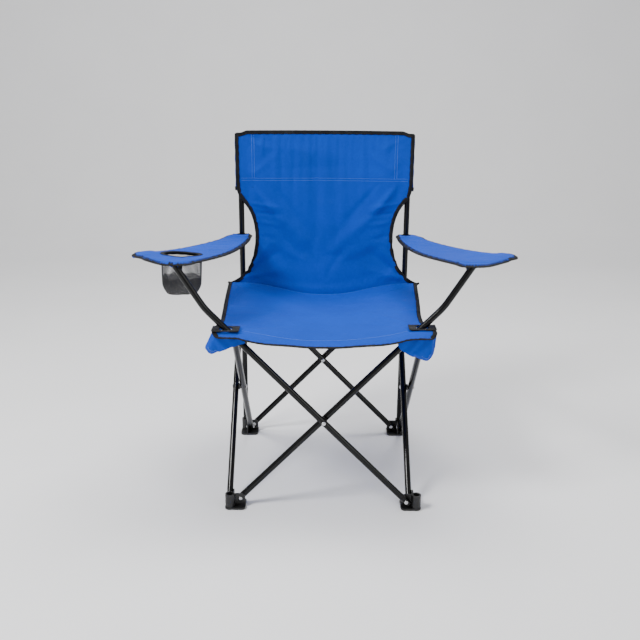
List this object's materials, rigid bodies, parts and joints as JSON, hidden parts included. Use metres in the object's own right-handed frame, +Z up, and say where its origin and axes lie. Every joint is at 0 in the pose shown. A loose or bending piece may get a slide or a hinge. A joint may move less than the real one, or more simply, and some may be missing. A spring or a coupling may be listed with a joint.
{
  "type": "folding camp chair",
  "caption": "Folding camp chair: crossed steel tubes, cloth seat and back slung from posts, cloth armrests, a net cup holder and moulded feet.",
  "frame": {"origin": "on the ground, at the middle of the open chair's bounding box", "axes": "+Z up, -Y towards the front of the chair, +X to the right of someone looking at its front"},
  "size_m": [0.9312, 0.549, 0.905],
  "materials": {
    "black_paint": "gloss",
    "black_plastic": "satin",
    "rivet_steel": "satin",
    "blue_cloth": "plain weave",
    "black_webbing": "ribbed webbing",
    "grey_mesh": "open net"
  },
  "bodies": {
    "rear_left_corner": {"foot_rear_left": "black_plastic", "foot_rivets_rear_left": "rivet_steel", "post_left": "black_paint", "post_cap_left": "black_plastic", "sleeve_left": "blue_cloth", "back_panel": "blue_cloth"},
    "rear_tube_a": {"rear_tube_outer": "black_paint", "rear_cross_rivet": "rivet_steel", "rear_spacer": "black_plastic"},
    "rear_tube_b": {"rear_tube_inner": "black_paint"},
    "rear_right_corner": {"foot_rear_right": "black_plastic", "foot_rivets_rear_right": "rivet_steel", "post_right": "black_paint", "post_cap_right": "black_plastic", "sleeve_right": "blue_cloth"},
    "left_slider": {"slider_left": "black_plastic", "slider_rivets_left": "rivet_steel"},
    "right_slider": {"slider_right": "black_plastic", "slider_rivets_right": "rivet_steel"},
    "left_tube_b": {"left_tube_inner": "black_paint", "left_cross_rivet": "rivet_steel", "left_spacer": "black_plastic", "side_tube_cap_left": "black_plastic"},
    "left_tube_a": {"left_tube_outer": "black_paint"},
    "front_left_foot": {"foot_front_left": "black_plastic", "foot_rivets_front_left": "rivet_steel"},
    "right_tube_b": {"right_tube_outer": "black_paint", "right_cross_rivet": "rivet_steel", "right_spacer": "black_plastic", "side_tube_cap_right": "black_plastic"},
    "right_tube_a": {"right_tube_inner": "black_paint"},
    "front_right_foot": {"foot_front_right": "black_plastic", "foot_rivets_front_right": "rivet_steel"},
    "front_tube_b": {"front_tube_inner": "black_paint", "front_cross_rivet": "rivet_steel", "front_spacer": "black_plastic", "arm_cap_right": "black_plastic"},
    "front_tube_a": {"front_tube_outer": "black_paint", "arm_cap_left": "black_plastic"},
    "left_seat_corner": {"corner_patch_left": "black_webbing", "corner_pocket_left": "blue_cloth"},
    "right_seat_corner": {"corner_patch_right": "black_webbing", "corner_pocket_right": "blue_cloth"},
    "seat_rear_half": {"seat_rear": "blue_cloth"},
    "seat_front_half": {"seat_front": "blue_cloth"},
    "left_armrest": {"armrest_left": "blue_cloth", "cup_holder": "grey_mesh"},
    "right_armrest": {"armrest_right": "blue_cloth"}
  },
  "joints": [
    {"name": "fold", "type": "hinge", "parent": "rear_left_corner", "child": "rear_tube_a", "pos_m": [-0.21, 0.23901, 0.023], "axis": [0, -1, 0], "range_deg": [0, 37], "deforming": ["back_panel", "seat_rear", "seat_front", "armrest_left", "armrest_right", "cup_holder", "corner_patch_left", "corner_patch_right", "corner_pocket_left", "corner_pocket_right"]},
    {"name": "rear_cross", "type": "hinge", "parent": "rear_tube_a", "child": "rear_tube_b", "pos_m": [0, 0.22901, 0.238], "axis": [0, 1, 0], "range_deg": [0, 74.01]},
    {"name": "left_slider_pivot", "type": "hinge", "parent": "rear_tube_b", "child": "left_slider", "pos_m": [-0.21, 0.21901, 0.453], "axis": [0, -1, 0], "range_deg": [0, 37.01]},
    {"name": "rear_right_foot_pivot", "type": "hinge", "parent": "rear_tube_b", "child": "rear_right_corner", "pos_m": [0.21, 0.21901, 0.023], "axis": [0, -1, 0], "range_deg": [0, 37.01]},
    {"name": "right_slider_pivot", "type": "hinge", "parent": "rear_tube_a", "child": "right_slider", "pos_m": [0.21, 0.23901, 0.453], "axis": [0, 1, 0], "range_deg": [0, 37.01]},
    {"name": "rear_left_side_pivot", "type": "hinge", "parent": "rear_left_corner", "child": "left_tube_b", "pos_m": [-0.21901, 0.21, 0.023], "axis": [-1, 0, 0], "range_deg": [0, 37.01]},
    {"name": "left_cross", "type": "hinge", "parent": "left_tube_b", "child": "left_tube_a", "pos_m": [-0.22901, 0, 0.238], "axis": [1, 0, 0], "range_deg": [0, 74.01]},
    {"name": "front_left_foot_pivot", "type": "hinge", "parent": "left_tube_a", "child": "front_left_foot", "pos_m": [-0.23901, -0.21, 0.023], "axis": [-1, 0, 0], "range_deg": [0, 37.01]},
    {"name": "rear_right_side_pivot", "type": "hinge", "parent": "rear_right_corner", "child": "right_tube_b", "pos_m": [0.23901, 0.21, 0.023], "axis": [-1, 0, 0], "range_deg": [0, 37.01]},
    {"name": "right_cross", "type": "hinge", "parent": "right_tube_b", "child": "right_tube_a", "pos_m": [0.22901, 0, 0.238], "axis": [1, 0, 0], "range_deg": [0, 74.01]},
    {"name": "front_right_foot_pivot", "type": "hinge", "parent": "right_tube_a", "child": "front_right_foot", "pos_m": [0.21901, -0.21, 0.023], "axis": [-1, 0, 0], "range_deg": [0, 37.01]},
    {"name": "front_left_tube_pivot", "type": "hinge", "parent": "front_left_foot", "child": "front_tube_b", "pos_m": [-0.21, -0.21901, 0.023], "axis": [0, -1, 0], "range_deg": [0, 37.01]},
    {"name": "front_cross", "type": "hinge", "parent": "front_tube_b", "child": "front_tube_a", "pos_m": [0, -0.22901, 0.238], "axis": [0, 1, 0], "range_deg": [0, 74.01]},
    {"name": "left_corner_pivot", "type": "hinge", "parent": "left_tube_b", "child": "left_seat_corner", "pos_m": [-0.21901, -0.21, 0.453], "axis": [1, 0, 0], "range_deg": [0, 37.01]},
    {"name": "right_corner_pivot", "type": "hinge", "parent": "right_tube_b", "child": "right_seat_corner", "pos_m": [0.23901, -0.21, 0.453], "axis": [1, 0, 0], "range_deg": [0, 37.01]},
    {"name": "seat_rear_swing", "type": "hinge", "parent": "left_slider", "child": "seat_rear_half", "pos_m": [0, 0.22101, 0.4745], "axis": [1, 0, 0], "range_deg": [0, 73.2]},
    {"name": "seat_front_swing", "type": "hinge", "parent": "left_seat_corner", "child": "seat_front_half", "pos_m": [0, -0.26201, 0.4745], "axis": [-1, 0, 0], "range_deg": [0, 73.2]},
    {"name": "left_armrest_swing", "type": "hinge", "parent": "rear_left_corner", "child": "left_armrest", "pos_m": [-0.22233, 0.26985, 0.63067], "axis": [-0.9369, 0.2364, 0.2576], "range_deg": [0, 56.25]},
    {"name": "right_armrest_swing", "type": "hinge", "parent": "rear_right_corner", "child": "right_armrest", "pos_m": [0.22301, 0.26719, 0.63084], "axis": [-0.9389, -0.2455, -0.241], "range_deg": [0, 60.25]}
  ],
  "couplings": [
    {"joint": "rear_cross", "follows": "fold", "ratio": 2},
    {"joint": "left_slider_pivot", "follows": "fold", "ratio": 1},
    {"joint": "rear_right_foot_pivot", "follows": "fold", "ratio": 1},
    {"joint": "right_slider_pivot", "follows": "fold", "ratio": 1},
    {"joint": "rear_left_side_pivot", "follows": "fold", "ratio": 1},
    {"joint": "left_cross", "follows": "fold", "ratio": 2},
    {"joint": "front_left_foot_pivot", "follows": "fold", "ratio": 1},
    {"joint": "rear_right_side_pivot", "follows": "fold", "ratio": 1},
    {"joint": "right_cross", "follows": "fold", "ratio": 2},
    {"joint": "front_right_foot_pivot", "follows": "fold", "ratio": 1},
    {"joint": "front_left_tube_pivot", "follows": "fold", "ratio": 1},
    {"joint": "front_cross", "follows": "fold", "ratio": 2},
    {"joint": "left_corner_pivot", "follows": "fold", "ratio": 1},
    {"joint": "right_corner_pivot", "follows": "fold", "ratio": 1},
    {"joint": "seat_rear_swing", "follows": "fold", "ratio": 1.9782},
    {"joint": "seat_front_swing", "follows": "fold", "ratio": 1.9782},
    {"joint": "left_armrest_swing", "follows": "fold", "ratio": 1.52},
    {"joint": "right_armrest_swing", "follows": "fold", "ratio": 1.628}
  ]
}
